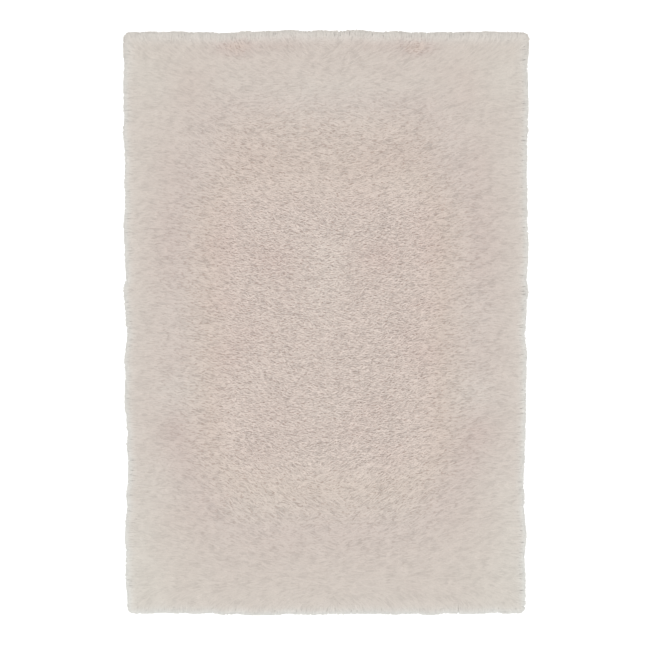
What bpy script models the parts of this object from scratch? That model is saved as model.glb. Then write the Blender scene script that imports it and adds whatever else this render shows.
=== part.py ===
"""A shag rug, 160 x 230 cm: one slab of long soft pile, with locks of yarn hanging over its rim.

The rug lies flat, with its length along Y, its width along X and its underside at Z = 0.
All sizes are in metres.
"""

import math
import random

import bmesh
import bpy
import numpy as np
from mathutils import Vector, geometry

# Driving sizes of the rug, measured over its pile.
WIDTH = 1.600
LENGTH = 2.323
PILE_HEIGHT = 0.034
CORNER_RADIUS = 0.028

# Locks round the rim. Each corner has locks of its own, which fan out, and neighbours lean together.
LOCKS_ALONG_SIDE = 82
LOCKS_ALONG_END = 56
LOCKS_AT_CORNER = 3
LOCK_WIDTH_VARIES = 0.24
LOCK_REACH = 0.027
LOCK_REACH_VARIES = 0.17
LOCK_LEAN = 0.0042
LOCK_LEAN_RUN = 7
LOCK_SWAY = 0.0018
LOCK_HEIGHT_VARIES = 0.22
LOCK_CREST = 0.60

# Sections of a lock: how far along it, its width in root widths, and its lowest and highest point.
# LOCK_CREST is the width of its top in widths of its underside.
LOCK_SECTIONS = (
    {"along": 0.55, "width": 0.85, "low": 0.0, "high": 0.0195},
    {"along": 1.00, "width": 0.52, "low": 0.0, "high": 0.0060},
)

# Rings of the slab's own edge, from the underside up: height, and how far inside the locks' roots.
UNDER_EDGE = {"height": 0.0, "inset": 0.005, "varies": 0.0}
ROOT_LOW = {"height": 0.004, "inset": 0.0, "varies": 0.0}
ROOT_HIGH = {"height": 0.0225, "inset": 0.0, "varies": 0.0022}
SHOULDER = {"height": 0.0290, "inset": 0.010, "varies": 0.0030}
SLAB_CORNER_RADIUS = 0.022

# Lumps of the pile: rows of tufts across the rug, each row half a step off the one before. A tuft
# rises slowly to its crest and drops steeply to its foot on the side that it leans to, outwards.
TUFT_STEP = 0.0640
TUFT_ROW = 0.0440
TUFT_SCATTER = 0.20
TUFT_POINTS = (
    {"name": "crest", "along": 0.20, "lump": 0.0050},
    {"name": "foot", "along": 0.62, "lump": -0.0045},
)
TUFT_HEIGHT_VARIES = 0.0030
TUFT_MARGIN = 0.018
SHOULDER_RUN = 0.070

# The pile's broad rises and hollows, as soft mounds: their middle, their radii and their height.
MOUNDS = (
    {"x": 0.00, "y": 0.98, "across": 0.62, "along": 0.10, "rise": -0.0030},
    {"x": 0.00, "y": 0.84, "across": 0.55, "along": 0.09, "rise": 0.0030},
    {"x": 0.70, "y": 0.86, "across": 0.11, "along": 0.12, "rise": 0.0028},
    {"x": 0.44, "y": 0.20, "across": 0.34, "along": 0.06, "rise": -0.0030},
    {"x": 0.66, "y": 0.08, "across": 0.12, "along": 0.16, "rise": 0.0026},
    {"x": 0.34, "y": 0.36, "across": 0.20, "along": 0.08, "rise": -0.0022},
    {"x": 0.64, "y": -0.12, "across": 0.16, "along": 0.10, "rise": 0.0024},
    {"x": 0.28, "y": -0.40, "across": 0.26, "along": 0.12, "rise": -0.0028},
    {"x": 0.30, "y": -0.62, "across": 0.22, "along": 0.08, "rise": 0.0018},
    {"x": 0.66, "y": -0.98, "across": 0.16, "along": 0.16, "rise": 0.0024},
)

# How far the pile's outline stands in from the widest rectangle. Both sides are alike.
SIDE_OUTLINE = (
    {"y": -1.140, "inset": 0.010},
    {"y": -1.085, "inset": 0.006},
    {"y": -1.025, "inset": 0.002},
    {"y": -0.965, "inset": 0.006},
    {"y": -0.895, "inset": 0.002},
    {"y": -0.820, "inset": 0.001},
    {"y": -0.750, "inset": 0.010},
    {"y": -0.700, "inset": 0.005},
    {"y": -0.630, "inset": 0.009},
    {"y": -0.535, "inset": 0.010},
    {"y": -0.425, "inset": 0.007},
    {"y": -0.330, "inset": 0.000},
    {"y": -0.270, "inset": -0.001},
    {"y": -0.210, "inset": 0.003},
    {"y": -0.140, "inset": -0.002},
    {"y": -0.053, "inset": 0.006},
    {"y": 0.060, "inset": -0.001},
    {"y": 0.140, "inset": -0.005},
    {"y": 0.187, "inset": 0.003},
    {"y": 0.280, "inset": -0.006},
    {"y": 0.380, "inset": -0.006},
    {"y": 0.440, "inset": -0.002},
    {"y": 0.520, "inset": -0.004},
    {"y": 0.595, "inset": 0.000},
    {"y": 0.655, "inset": 0.001},
    {"y": 0.715, "inset": -0.006},
    {"y": 0.765, "inset": -0.007},
    {"y": 0.810, "inset": 0.000},
    {"y": 0.860, "inset": -0.006},
    {"y": 0.905, "inset": -0.004},
    {"y": 1.030, "inset": -0.007},
    {"y": 1.120, "inset": -0.010},
    {"y": 1.140, "inset": -0.006},
)
FAR_END_OUTLINE = (
    {"x": 0.00, "inset": -0.0030},
    {"x": 0.05, "inset": -0.0030},
    {"x": 0.14, "inset": -0.0055},
    {"x": 0.21, "inset": -0.0015},
    {"x": 0.32, "inset": 0.0005},
    {"x": 0.42, "inset": 0.0030},
    {"x": 0.54, "inset": 0.0030},
    {"x": 0.66, "inset": -0.0010},
    {"x": 0.76, "inset": 0.0030},
)
NEAR_END_OUTLINE = (
    {"x": 0.00, "inset": -0.0005},
    {"x": 0.12, "inset": -0.0035},
    {"x": 0.25, "inset": -0.0040},
    {"x": 0.37, "inset": -0.0020},
    {"x": 0.52, "inset": 0.0020},
    {"x": 0.62, "inset": 0.0045},
    {"x": 0.73, "inset": 0.0000},
    {"x": 0.78, "inset": 0.0050},
)

OUTLINE_SMOOTHING = 0.018

# A lock takes two points of the rim: where it begins, and its middle.
STEPS_PER_LOCK = 2
RANDOM_SEED = 11

# Greyish beige polyester yarn, as linear colour.
PILE_COLOUR = (0.624, 0.527, 0.479, 1.0)
PILE_ROUGHNESS = 0.85


def clear_scene():
    for item in list(bpy.data.objects):
        bpy.data.objects.remove(item, do_unlink=True)


def table_value(rows, column, place):
    """The inset at this place along a table, with its corners rounded off by a short average."""
    places = [row[column] for row in rows]
    insets = [row["inset"] for row in rows]
    near = np.linspace(place - OUTLINE_SMOOTHING, place + OUTLINE_SMOOTHING, 5)
    return float(np.interp(near, places, insets).mean())


def half_width(y):
    return WIDTH / 2 - table_value(SIDE_OUTLINE, "y", y)


def far_end(x):
    return LENGTH / 2 - table_value(FAR_END_OUTLINE, "x", abs(x))


def near_end(x):
    return -LENGTH / 2 + table_value(NEAR_END_OUTLINE, "x", abs(x))


def on_outline(x, y, inset):
    """Moves a point of the plain rectangle on to the rug's uneven outline, less an inset."""
    across = (half_width(y) - inset) / (WIDTH / 2 - inset)
    end = far_end(x) if y > 0 else -near_end(x)
    along = (end - inset) / (LENGTH / 2 - inset)
    return Vector((x * across, y * along))


def lock_fractions(locks, seed):
    """Where each lock begins and has its middle along an edge of length 1, for locks of uneven width."""
    uneven = random.Random(seed)
    widths = [1 + uneven.uniform(-1, 1) * LOCK_WIDTH_VARIES for _ in range(locks)]
    begins = np.cumsum([0.0] + widths[:-1]) / sum(widths)
    middles = begins + np.array(widths) / sum(widths) / 2
    return np.column_stack((begins, middles)).ravel()


def rim(inset, corner_radius):
    """Points round the rug, anticlockwise from the near left, two to a lock at every inset."""
    right = WIDTH / 2 - inset - corner_radius
    top = LENGTH / 2 - inset - corner_radius
    corners = (
        {"middle": (right, -top), "from": -90},
        {"middle": (right, top), "from": 0},
        {"middle": (-right, top), "from": 90},
        {"middle": (-right, -top), "from": 180},
    )
    points = []
    for index, corner in enumerate(corners):
        turn = math.radians(corner["from"])
        start = Vector(corners[index - 1]["middle"]) + corner_radius * compass(turn)
        finish = Vector(corner["middle"]) + corner_radius * compass(turn)
        locks = LOCKS_ALONG_SIDE if index % 2 else LOCKS_ALONG_END
        points += [start.lerp(finish, share) for share in lock_fractions(locks, index)]
        for share in lock_fractions(LOCKS_AT_CORNER, index):
            angle = turn + math.pi / 2 * share
            points.append(Vector(corner["middle"]) + corner_radius * compass(angle))
    return [on_outline(point.x, point.y, inset) for point in points]


def compass(angle):
    return Vector((math.cos(angle), math.sin(angle)))


def edge_ring(mesh, ring, lumps):
    """One ring of the slab's edge, a vertex at each side of every lock."""
    inset = LOCK_REACH + ring["inset"]
    points = rim(inset, SLAB_CORNER_RADIUS)[::STEPS_PER_LOCK]
    heights = [ring["height"] + lumps.uniform(-1, 1) * ring["varies"] for _ in points]
    return [mesh.verts.new((*point, height)) for point, height in zip(points, heights)]


def join_rings(mesh, lower, upper):
    count = len(lower)
    for index in range(count):
        after = (index + 1) % count
        mesh.faces.new((lower[index], lower[after], upper[after], upper[index]))


def lock_leans(count, lumps):
    """How far each tip stands to one side: soft waves round the rim, and a little of its own."""
    turns = round(count / LOCK_LEAN_RUN)
    places = np.linspace(0, 2 * math.pi, count, endpoint=False)
    waves = sum(
        np.sin(places * (turns + step) + lumps.uniform(0, 2 * math.pi)) for step in (-5, 0, 4)
    )
    own = np.array([lumps.uniform(-1, 1) for _ in range(count)])
    return waves / 3 * LOCK_LEAN + own * LOCK_SWAY


def lock_path(lumps):
    """For each lock, its root's middle on the slab, its tip on the outline and its tip's lean."""
    roots = rim(LOCK_REACH, SLAB_CORNER_RADIUS)[1::STEPS_PER_LOCK]
    tips = rim(0, CORNER_RADIUS)[1::STEPS_PER_LOCK]
    for root, tip, lean in zip(roots, tips, lock_leans(len(roots), lumps)):
        reach = 1 + lumps.uniform(-1, 1) * LOCK_REACH_VARIES
        yield root, root + (tip - root) * reach, lean


def add_lock(mesh, root_corners, path, rise):
    """A four-sided lock that grows out of the slab's edge, bends down and lies on the floor."""
    root, tip, lean = path
    low_left, low_right, high_right, high_left = root_corners
    across = (low_right.co - low_left.co).to_2d()
    width = across.length
    across.normalize()
    before = root_corners
    for section in LOCK_SECTIONS:
        along = section["along"]
        middle = root.lerp(tip, along) + across * lean * along**2
        low = across * width * section["width"] / 2
        high = low * LOCK_CREST
        height = section["high"] * rise
        corners = (
            (*(middle - low), section["low"]),
            (*(middle + low), section["low"]),
            (*(middle + high), height),
            (*(middle - high), height),
        )
        ring = [mesh.verts.new(corner) for corner in corners]
        for index in range(4):
            after = (index + 1) % 4
            mesh.faces.new((before[index], before[after], ring[after], ring[index]))
        before = ring
    mesh.faces.new(before)


def add_locks(mesh, low_ring, high_ring, lumps):
    count = len(low_ring)
    for index, path in enumerate(lock_path(lumps)):
        after = (index + 1) % count
        corners = (low_ring[index], low_ring[after], high_ring[after], high_ring[index])
        add_lock(mesh, corners, path, 1 + lumps.uniform(-1, 1) * LOCK_HEIGHT_VARIES)
    return count


def mound_height(x, y):
    """The broad rises and hollows, the same on both sides of the rug's middle line."""
    height = 0.0
    for mound in MOUNDS:
        away = ((abs(x) - mound["x"]) / mound["across"]) ** 2
        away += ((y - mound["y"]) / mound["along"]) ** 2
        height += mound["rise"] * math.exp(-away)
    return height


def pile_top(x, y, lump):
    """The pile's height: full in the middle, and rounded down towards the rim."""
    to_rim = min(half_width(y) - abs(x), far_end(x) - y, y - near_end(x)) - LOCK_REACH
    share = min(max(to_rim / SHOULDER_RUN, 0), 1)
    rounded = math.sqrt(1 - (1 - share) ** 2)
    edge = SHOULDER["height"]
    return edge + (PILE_HEIGHT - edge) * rounded + mound_height(x, y) * share + lump


def inside_shoulder(x, y):
    inset = LOCK_REACH + SHOULDER["inset"] + TUFT_MARGIN
    beside = abs(x) < half_width(y) - inset
    return beside and near_end(x) + inset < y < far_end(x) - inset


def tuft_points(lumps):
    """The tufts' crests and feet, in staggered rows that stop short of the shoulder."""
    rows = int(LENGTH / TUFT_ROW / 2) + 1
    columns = int(WIDTH / TUFT_STEP / 2) + 1
    points = []
    for row in range(-rows, rows + 1):
        for column in range(-columns, columns + 1):
            tuft_x = (column + 0.5 * (row % 2) + lumps.uniform(-1, 1) * TUFT_SCATTER) * TUFT_STEP
            tuft_y = (row + lumps.uniform(-1, 1) * TUFT_SCATTER) * TUFT_ROW
            for point in TUFT_POINTS:
                x = tuft_x + math.copysign(point["along"] * TUFT_STEP, tuft_x)
                y = tuft_y + lumps.uniform(-1, 1) * TUFT_SCATTER * TUFT_ROW
                lump = point["lump"] + lumps.uniform(-1, 1) * TUFT_HEIGHT_VARIES
                if inside_shoulder(x, y):
                    points.append(Vector((x, y, pile_top(x, y, lump))))
    return points


def fill_ring(mesh, ring, inner, facing_up):
    """Triangles between a ring of vertices and the points inside it."""
    vertices = ring + [mesh.verts.new(point) for point in inner]
    flat = [vertex.co.to_2d() for vertex in vertices]
    edges = [(index, (index + 1) % len(ring)) for index in range(len(ring))]
    inside_only = 1
    found = geometry.delaunay_2d_cdt(flat, edges, [], inside_only, 1e-6)
    for corners in found[2]:
        face = [vertices[found[3][corner][0]] for corner in corners]
        mesh.faces.new(face if facing_up else face[::-1])


def centre_on_origin(mesh):
    """Puts the middle of the rug's box at the origin in X and Y."""
    places = np.array([vertex.co[:2] for vertex in mesh.verts])
    middle = (places.min(axis=0) + places.max(axis=0)) / 2
    bmesh.ops.translate(mesh, verts=mesh.verts, vec=(-middle[0], -middle[1], 0))


def pile_material():
    material = bpy.data.materials.new("polyester_pile")
    material.use_nodes = True
    surface = material.node_tree.nodes["Principled BSDF"]
    surface.inputs["Base Color"].default_value = PILE_COLOUR
    surface.inputs["Roughness"].default_value = PILE_ROUGHNESS
    surface.inputs["Metallic"].default_value = 0.0
    return material


def make_rug():
    lumps = random.Random(RANDOM_SEED)
    mesh = bmesh.new()
    under = edge_ring(mesh, UNDER_EDGE, lumps)
    low = edge_ring(mesh, ROOT_LOW, lumps)
    high = edge_ring(mesh, ROOT_HIGH, lumps)
    shoulder = edge_ring(mesh, SHOULDER, lumps)
    join_rings(mesh, under, low)
    locks = add_locks(mesh, low, high, lumps)
    join_rings(mesh, high, shoulder)
    fill_ring(mesh, shoulder, tuft_points(lumps), facing_up=True)
    fill_ring(mesh, under, [], facing_up=False)
    centre_on_origin(mesh)
    bmesh.ops.triangulate(mesh, faces=mesh.faces)
    data = bpy.data.meshes.new("shag_rug")
    mesh.to_mesh(data)
    print(f"rug: {locks} locks, {len(data.polygons)} triangles")
    mesh.free()
    data.materials.append(pile_material())
    rug = bpy.data.objects.new("shag_rug", data)
    bpy.context.scene.collection.objects.link(rug)


clear_scene()
make_rug()
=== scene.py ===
# %% [markdown]
# # A shag rug, seen from straight above
# The real rug is long-pile cloth. Soft polyester yarn is tufted through a woven backing, and
# its cut ends swell into locks that lean outwards and roll over all four edges to the floor.
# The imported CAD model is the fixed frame: it gives the outline and the height of the pile.
# This lesson keeps that frame and dresses it with a backing, the dense foot of the pile and
# thousands of separate locks.

import bpy
import numpy as np
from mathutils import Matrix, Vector
from mathutils.bvhtree import BVHTree
from mathutils.kdtree import KDTree


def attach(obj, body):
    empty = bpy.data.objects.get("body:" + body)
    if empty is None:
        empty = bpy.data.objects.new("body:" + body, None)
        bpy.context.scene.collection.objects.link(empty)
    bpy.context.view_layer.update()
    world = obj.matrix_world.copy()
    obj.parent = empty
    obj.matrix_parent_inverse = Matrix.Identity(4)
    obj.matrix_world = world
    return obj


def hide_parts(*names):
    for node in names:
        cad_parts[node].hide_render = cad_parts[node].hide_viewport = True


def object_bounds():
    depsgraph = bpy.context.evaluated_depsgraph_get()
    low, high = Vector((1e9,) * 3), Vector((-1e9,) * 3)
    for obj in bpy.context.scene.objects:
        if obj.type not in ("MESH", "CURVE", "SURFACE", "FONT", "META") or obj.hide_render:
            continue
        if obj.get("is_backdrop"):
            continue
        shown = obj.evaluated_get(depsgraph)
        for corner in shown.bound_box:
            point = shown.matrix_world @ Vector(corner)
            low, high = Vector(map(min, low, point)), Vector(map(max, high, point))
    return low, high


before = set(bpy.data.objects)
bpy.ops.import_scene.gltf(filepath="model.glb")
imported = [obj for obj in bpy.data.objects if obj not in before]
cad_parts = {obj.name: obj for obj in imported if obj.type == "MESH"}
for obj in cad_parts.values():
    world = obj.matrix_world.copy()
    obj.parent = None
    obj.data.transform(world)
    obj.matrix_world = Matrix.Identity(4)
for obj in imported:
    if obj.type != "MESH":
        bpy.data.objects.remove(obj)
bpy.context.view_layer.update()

# %% [markdown]
# ## Camera
# The picture is taken from straight above with a long lens, so all four sides show at once
# and none of them leans. One pixel covers 4 mm of floor. The camera comes first, because
# everything else is judged through it.

# %% The camera
PICTURE_SIDE = 650 * 0.004
CAMERA_HEIGHT = 8.0
PICTURE_CENTRE = (-0.004, -0.009)

scene = bpy.context.scene
lens = bpy.data.cameras.new("camera")
lens.sensor_width = 36.0
lens.lens = lens.sensor_width * CAMERA_HEIGHT / PICTURE_SIDE
lens.clip_end = 60.0
camera = bpy.data.objects.new("camera", lens)
camera.location = (*PICTURE_CENTRE, CAMERA_HEIGHT)
scene.collection.objects.link(camera)
scene.camera = camera
print("lens", round(lens.lens), "mm")

# %% [markdown]
# ## Small helpers
# Colours are given as sRGB hex values, but shaders add light in linear values, so one
# function converts them. Another adds a node, its settings and its links in one line, for
# shaders and Geometry Nodes alike. The rest turn plain arrays into meshes and back.

# %% Colours and nodes
def linear(hex_colour):
    """An sRGB colour such as #D8D0C8 as linear red, green, blue and alpha."""
    parts = [int(hex_colour[i:i + 2], 16) / 255 for i in (1, 3, 5)]
    return [c / 12.92 if c <= 0.04045 else ((c + 0.055) / 1.055) ** 2.4 for c in parts] + [1.0]


def add_node(tree, kind, stops=(), **inputs):
    """Adds a node. A small first letter names a setting of the node, a capital one a socket.
    A socket takes a value, another node or one of its outputs, and _ in its name is a space.
    stops are the places and colours of a colour ramp, in rising order."""
    node = tree.nodes.new(kind)
    for name in [name for name in inputs if name[0].islower()]:
        setattr(node, name, inputs.pop(name))
    for place, _ in stops[2:]:
        node.color_ramp.elements.new(place)
    for number, (place, colour) in enumerate(stops):
        stop = node.color_ramp.elements[number]
        stop.position, stop.color = place, colour
    for name, value in inputs.items():
        names = (name, name.replace("_", " "))
        entry = next(s for s in node.inputs if s.enabled and (s.identifier in names or s.name in names))
        if isinstance(value, bpy.types.Node):
            value = next(s for s in value.outputs if s.enabled)
        if isinstance(value, bpy.types.NodeSocket):
            tree.links.new(value, entry)
        else:
            entry.default_value = value
    return node


# %% Meshes from arrays
def new_piece(name, points, faces, materials=()):
    """A smooth-shaded mesh object at the origin, with its place in its mesh."""
    mesh = bpy.data.meshes.new(name)
    mesh.from_pydata([tuple(p) for p in points], [], faces)
    mesh.validate()
    for material in materials:
        mesh.materials.append(material)
    mesh.shade_smooth()
    piece = bpy.data.objects.new(name, mesh)
    scene.collection.objects.link(piece)
    return piece


def store(mesh, name, values):
    """Writes a number, or a row of three, for each point of the mesh as a named attribute."""
    values = np.asarray(values, dtype=np.float32)
    kind, key = ("FLOAT_VECTOR", "vector") if values.ndim == 2 else ("FLOAT", "value")
    mesh.attributes.new(name, kind, "POINT").data.foreach_set(key, values.ravel())


def read(parts, name, width=1, kind=np.float32):
    """One property of all points, faces or corners, as rows when it has several values."""
    found = np.empty(len(parts) * width, dtype=kind)
    parts.foreach_get(name, found)
    return found.reshape(-1, width) if width > 1 else found


# %% [markdown]
# ## What the frame says
# The CAD solid is a lumpy slab with locks at its rim. Two things are read from it: how far the
# lock tips reach, which is the outline, and how high the pile stands. Both are smoothed, because
# its locks and tufts are much coarser than the real ones that replace them.

# %% The points of the solid, and how far its tips reach
TIP_WINDOW = 0.017

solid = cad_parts["shag_rug"]
solid_points = read(solid.data.vertices, "co", 3).astype(float)


def farthest(along, reach, spots):
    """How far the solid reaches near each spot along one side, smoothed over its lock tips."""
    far = [reach[np.abs(along - spot) < TIP_WINDOW].max() for spot in spots]
    return np.convolve(np.pad(far, 1, mode="edge"), (0.25, 0.5, 0.25), mode="valid")


spots_y = np.linspace(-1.10, 1.10, 139)
spots_x = np.linspace(-0.74, 0.74, 94)
right, left, top_end, bottom_end = [
    farthest(solid_points[:, along], side * solid_points[:, 1 - along], spots)
    for along, side, spots in ((1, 1, spots_y), (1, -1, spots_y), (0, 1, spots_x), (0, -1, spots_x))
]
print("mean reach in mm", [round(1000 * float(far.mean())) for far in (right, left, top_end, bottom_end)])

# %% [markdown]
# ## Distance from the rim
# How a lock leans, how pale it looks and how high it stands depend on how near the edge it is.
# So the outline becomes a function of the place. It takes whole arrays, which keeps it quick.

# %% How far inside the outline a point is
CORNER_RADIUS = 0.028


def side_reach(x, y):
    """Distance from the middle line to the side rim at this height of the picture."""
    return np.where(x > 0, np.interp(y, spots_y, right), np.interp(y, spots_y, left))


def end_reach(x, y):
    """Distance from the middle to the end rim at this place across the rug."""
    return np.where(y > 0, np.interp(x, spots_x, top_end), np.interp(x, spots_x, bottom_end))


def inside_by(x, y):
    """How far inside the side rim, and how far inside the end rim."""
    return side_reach(x, y) - np.abs(x), end_reach(x, y) - np.abs(y)


def rim_distance(x, y):
    """How far inside the outline a point is, with the corners rounded."""
    dx, dy = inside_by(x, y)
    corner = CORNER_RADIUS - np.hypot(CORNER_RADIUS - dx, CORNER_RADIUS - dy)
    in_corner = (dx < CORNER_RADIUS) & (dy < CORNER_RADIUS)
    return np.where(in_corner, corner, np.minimum(dx, dy))


print("the middle is", round(1000 * float(rim_distance(0.0, 0.0))), "mm inside")

# %% [markdown]
# ## Height of the pile
# Long pile has broad rises and hollows where it has been pressed. Rays dropped on a coarse grid
# find them on the solid, and two rounds of blur take out its tufts. At the rim the skin of the
# pile rolls over like a quarter of a circle, down to the thin ends on the floor.

# %% Drop rays on the solid
MAP_STEP = 0.016
HIGHEST_RAY = 0.2
LOWEST_PILE = 0.026
USUAL_PILE = 0.033
map_x = np.arange(-0.832, 0.833, MAP_STEP)
map_y = np.arange(-1.200, 1.201, MAP_STEP)
triangles = [tuple(p.vertices) for p in solid.data.polygons]
solid_tree = BVHTree.FromPolygons([tuple(p) for p in solid_points], triangles)


def drop(x, y):
    """Height at which a ray from above lands on the solid, or 0 beside it."""
    hit = solid_tree.ray_cast(Vector((x, y, HIGHEST_RAY)), Vector((0, 0, -1)))[0]
    return hit.z if hit else 0.0


tops = np.array([[drop(x, y) for x in map_x] for y in map_y])


# %% Smooth the heights
def blur(grid, weights=(1, 4, 6, 4, 1)):
    """A soft average over neighbours, both ways."""
    w = np.array(weights) / sum(weights)
    for axis in (0, 1):
        grid = np.apply_along_axis(
            lambda row: np.convolve(np.pad(row, 2, mode="edge"), w, "valid"), axis, grid)
    return grid


pile_found = (tops > LOWEST_PILE).astype(float)
found_near = blur(blur(pile_found))
smooth_tops = blur(blur(tops * pile_found)) / np.maximum(found_near, 1e-6)
smooth_tops = np.where(found_near > 0.02, smooth_tops, USUAL_PILE)
print("pile height in mm", [round(1000 * float(np.percentile(smooth_tops, p)), 1) for p in (1, 50, 99)])

# %% The skin of the pile
ROLL_WIDTH = 0.034
FRINGE_HEIGHT = 0.004
MAT_INSET = 0.0055


def between_four(grid, column, row, u, v):
    """A value between four neighbours of a grid, u across and v up from the lower left one."""
    low = grid[row, column] * (1 - u) + grid[row, column + 1] * u
    high = grid[row + 1, column] * (1 - u) + grid[row + 1, column + 1] * u
    return low * (1 - v) + high * v


def field_height(x, y):
    """The smoothed height of the pile, before it rolls over at the rim."""
    i = np.clip((x - map_x[0]) / MAP_STEP, 0, len(map_x) - 1.001)
    j = np.clip((y - map_y[0]) / MAP_STEP, 0, len(map_y) - 1.001)
    column, row = i.astype(int), j.astype(int)
    return between_four(smooth_tops, column, row, i - column, j - row)


def pile_height(x, y, inset=0.0):
    """The skin of the pile: its height in the field, rolled over to the floor at the rim."""
    distance = np.clip((rim_distance(x, y) - inset) / ROLL_WIDTH, 0, 1)
    roll = np.sqrt(np.clip(1 - (1 - distance) ** 2, 0, 1))
    return FRINGE_HEIGHT + (field_height(x, y) - FRINGE_HEIGHT) * roll


# %% [markdown]
# ## Which way the skin faces
# From a few steps away, pile is lit as one soft surface, not as single locks. So each lock will
# borrow part of its shading from the skin of the pile, which faces up in the field, a little
# aside on its lumps, and outwards where it rolls over.

# %% The skin's direction
RIM_LEAN = 0.25
SLOPE_REACH = 0.003


def slopes(height, x, y):
    """How fast a function of the place rises along x and along y."""
    d = SLOPE_REACH
    rise = [height(x + d, y) - height(x - d, y), height(x, y + d) - height(x, y - d)]
    return np.stack(rise, 1) / (2 * d)


def skin_normal(x, y):
    """The direction that the skin of the pile faces, as rows of length 1."""
    over = RIM_LEAN * (1 - np.clip(rim_distance(x, y) / ROLL_WIDTH, 0, 1))
    level = -slopes(field_height, x, y) - slopes(rim_distance, x, y) * over[:, None]
    normal = np.column_stack([level, np.ones(x.size)])
    return normal / np.linalg.norm(normal, axis=1)[:, None]


print("skin at the right rim faces", skin_normal(np.array([0.79]), np.zeros(1)).round(2))

# %% [markdown]
# ## How the pile lies
# A shag rug is brushed by feet, hands and its own weight. Near the rim every lock leans
# straight outwards. In the middle they lean mostly sideways, with a lot of scatter, and some
# patches look darker or lighter, as their locks turn their ends or their length to the light:
# that is painted shade and sheen, with a slight shift of hue. The lie is written as functions
# of the place, and the patches as soft spots, which are easy to move. Left and right look the
# same, so a list holds one half.

# %% Scatter that is the same on every run
NOISE_WIDE = 2.4
NOISE_LONG = 3.2


def smooth_step(low, high, value):
    """0 below low, 1 above high, and a soft rise between them."""
    t = np.clip((value - low) / (high - low), 0, 1)
    return t * t * (3 - 2 * t)


def soft_noise(x, y, size, seed):
    """Even noise from -1 to 1 whose lumps are about this size in metres."""
    shape = (int(NOISE_LONG / size) + 3, int(NOISE_WIDE / size) + 3)
    grid = np.random.default_rng(seed).uniform(-1, 1, shape)
    i, j = (x + NOISE_WIDE / 2) / size, (y + NOISE_LONG / 2) / size
    column = np.clip(np.floor(i).astype(int), 0, grid.shape[1] - 2)
    row = np.clip(np.floor(j).astype(int), 0, grid.shape[0] - 2)
    u, v = smooth_step(0, 1, i - np.floor(i)), smooth_step(0, 1, j - np.floor(j))
    return between_four(grid, column, row, u, v)


def spot_sum(x, y, spots):
    """Adds soft round spots (|x|, y, half width, half length in cm, strength in tenths)."""
    total = np.zeros_like(x)
    for *sizes, strength in spots:
        sx, sy, wide, long = [size / 100 for size in sizes]
        total += strength / 10 * np.exp(-((np.abs(x) - sx) / wide) ** 2 - ((y - sy) / long) ** 2)
    return total


# %% Brushed patches
# Above 0 the pile looks creamy and light, as its locks show their length: painted sheen.
# Below 0 it looks pinkish and darker, as they show their ends: painted shade.
TONE_AND_SHADE_LIMIT = 1.2
TONE_AND_SHADE_SPOTS = [
    (0, 20, 8, 16, 7), (21, 26, 8, 5, -8), (42, 29, 6, 5, -6), (38, 7, 10, 3, -7), (30, -4, 6, 5, -6),
    (40, -13, 8, 5, -6), (57, 2, 7, 12, 6), (60, -28, 8, 6, 6), (60, -43, 6, 5, -8),
    (20, -35, 7, 4, -5), (12, -43, 6, 4, -4), (4, -35, 5, 4, 3), (30, 66, 12, 6, -4),
    (55, 90, 6, 6, -7), (36, 110, 6, 3, -10), (20, 110, 8, 2, -8), (36, 95, 10, 4, 4),
    (6, 95, 8, 5, 5), (48, 70, 6, 10, 5), (76, -105, 16, 20, 12), (70, 98, 8, 10, 6),
    (10, 90, 24, 8, 5), (60, 62, 5, 10, -7), (62, 32, 7, 16, -6), (56, -52, 9, 10, -5),
    (50, -78, 10, 8, -5), (12, -74, 26, 8, 4), (72, -80, 5, 12, 7), (41, 22, 7, 24, -8),
    (18, 62, 20, 8, -4), (42, -36, 6, 16, -6), (20, 84, 24, 8, 2), (20, -62, 30, 14, 2),
    (56, -27, 9, 12, 7), (36, -12, 7, 10, -5), (20, 24, 10, 10, -5), (26, -53, 11, 6, -7),
    (32, -77, 12, 10, 4), (38, 40, 8, 10, -5), (14, 48, 12, 5, -5), (66, -63, 8, 12, 6),
    (4, 84, 10, 7, 4), (51, 98, 8, 6, -6),
]


def pile_tone_and_shade(x, y):
    """How creamy and lit or pinkish and shaded the pile looks, as painted sheen and shade of its lie, with
    a little chance in it.
    """
    fine = 0.07 * soft_noise(x, y, 0.030, 3) + 0.15 * soft_noise(x, y, 0.09, 4)
    return np.clip(spot_sum(x, y, TONE_AND_SHADE_SPOTS) + fine, -TONE_AND_SHADE_LIMIT, TONE_AND_SHADE_LIMIT)


print(len(TONE_AND_SHADE_SPOTS), "soft patches on each half")

# %% Ruffled or brushed
# How ruffled the pile is, going in from a side, and going up the rug from its near end.
RUFFLE_ACROSS = (
    (0.05, 0.10), (0.15, 0.25), (0.22, 0.35), (0.28, 0.50), (0.34, 0.65), (0.42, 0.90), (0.50, 1.0))
RUFFLE_ALONG = (
    (-1.10, 0.05), (-0.99, 0.12), (-0.90, 0.22), (-0.82, 0.32), (-0.74, 0.50), (-0.65, 0.66),
    (-0.57, 0.88), (-0.49, 1.0), (0.44, 1.0), (0.52, 0.80), (0.65, 0.62), (0.77, 0.54),
    (0.86, 0.35), (0.94, 0.19), (1.03, 0.13), (1.12, 0.18))
RUFFLE_SPOTS = [(36, 110, 6, 3, 5)]


def combed(x, y):
    """1 where the pile is brushed flat and even, 0 where it is ruffled."""
    across = np.interp(inside_by(x, y)[0], *zip(*RUFFLE_ACROSS))
    along = np.interp(y, *zip(*RUFFLE_ALONG))
    return 1 - np.clip(across * along + spot_sum(x, y, RUFFLE_SPOTS), 0, 1.2)


# %% The lean of the locks
# How much a lock climbs up the rug on its way out to the side, in degrees.
USUAL_CLIMB = 10
CLIMB_SPOTS = [(25, -70, 35, 20, 200), (48, 78, 15, 20, 140), (16, 86, 14, 12, -260)]
SIDE_FADE = 0.05
PARTING = 0.22


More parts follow.
